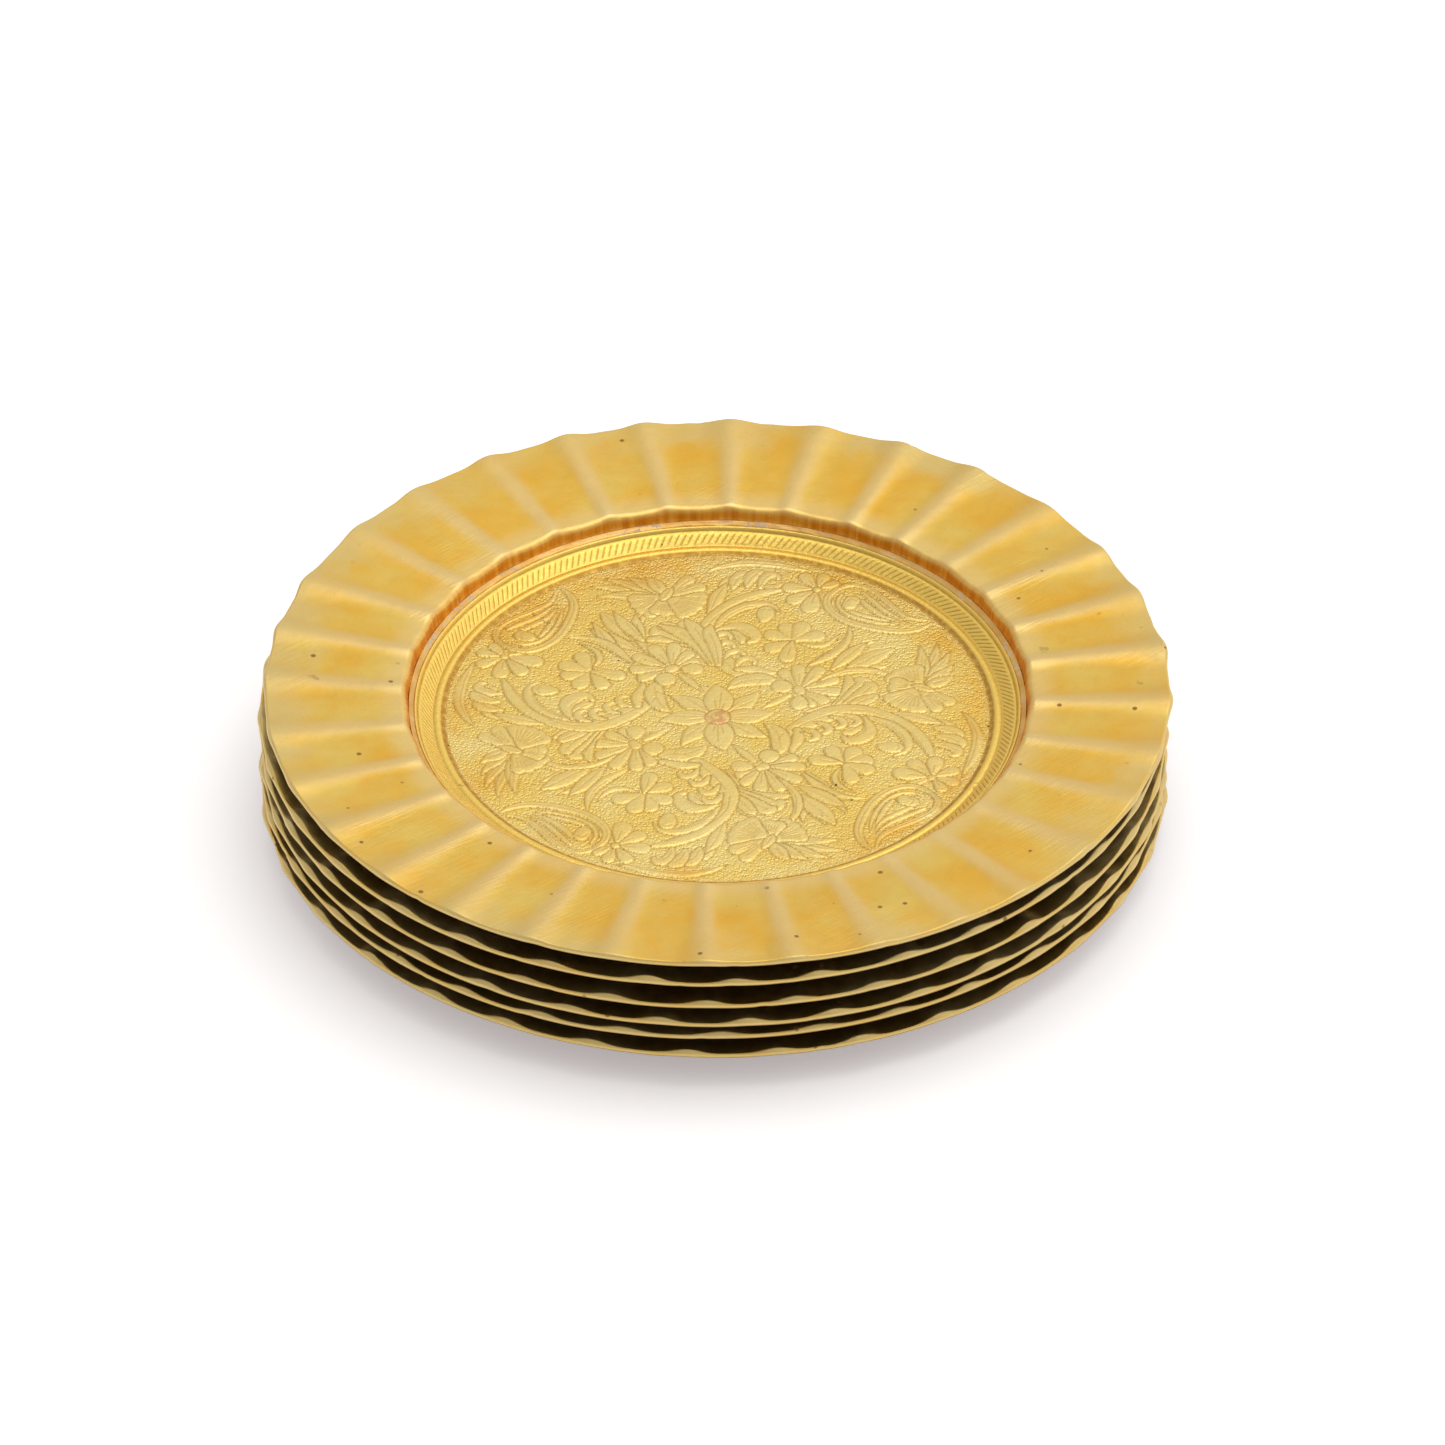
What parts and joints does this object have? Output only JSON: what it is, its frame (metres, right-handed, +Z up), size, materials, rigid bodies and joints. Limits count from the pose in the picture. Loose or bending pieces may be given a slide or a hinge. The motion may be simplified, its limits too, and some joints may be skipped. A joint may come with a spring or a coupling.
{
  "type": "stack of brass trays",
  "caption": "Nested stack of small round brass trays, each with a wide fluted rim and an engraved disc in a shallow well; each tray lifts off the one below.",
  "frame": {"origin": "centre of the flat underside of the bottom tray, where the stack stands", "axes": "+Z up, out of the trays' wells; X and Y lie in the base, and no direction round the trays is special"},
  "size_m": [0.1512, 0.1506, 0.0262],
  "materials": {
    "pan_brass": "satin, lightly brushed, with an uneven golden patina",
    "disc_brass": "engraved and polished, satin, darker in the cuts",
    "solder": "dull brown, with pale deposits"
  },
  "bodies": {
    "tray_1": {"tray_1_pan": "pan_brass", "tray_1_disc": "disc_brass", "tray_1_solder": "solder"},
    "tray_2": {"tray_2_pan": "pan_brass", "tray_2_disc": "disc_brass", "tray_2_solder": "solder"},
    "tray_3": {"tray_3_pan": "pan_brass", "tray_3_disc": "disc_brass", "tray_3_solder": "solder"},
    "tray_4": {"tray_4_pan": "pan_brass", "tray_4_disc": "disc_brass", "tray_4_solder": "solder"},
    "tray_5": {"tray_5_pan": "pan_brass", "tray_5_disc": "disc_brass", "tray_5_solder": "solder"},
    "tray_6": {"tray_6_pan": "pan_brass", "tray_6_disc": "disc_brass", "tray_6_solder": "solder"}
  },
  "joints": [
    {"name": "tray_2_lift", "type": "slide", "parent": "tray_1", "child": "tray_2", "axis": [0, 0, 1], "range_m": [0, 0.03]},
    {"name": "tray_3_lift", "type": "slide", "parent": "tray_2", "child": "tray_3", "axis": [0, 0, 1], "range_m": [0, 0.03]},
    {"name": "tray_4_lift", "type": "slide", "parent": "tray_3", "child": "tray_4", "axis": [0, 0, 1], "range_m": [0, 0.03]},
    {"name": "tray_5_lift", "type": "slide", "parent": "tray_4", "child": "tray_5", "axis": [0, 0, 1], "range_m": [0, 0.03]},
    {"name": "tray_6_lift", "type": "slide", "parent": "tray_5", "child": "tray_6", "axis": [0, 0, 1], "range_m": [0, 0.03]}
  ]
}
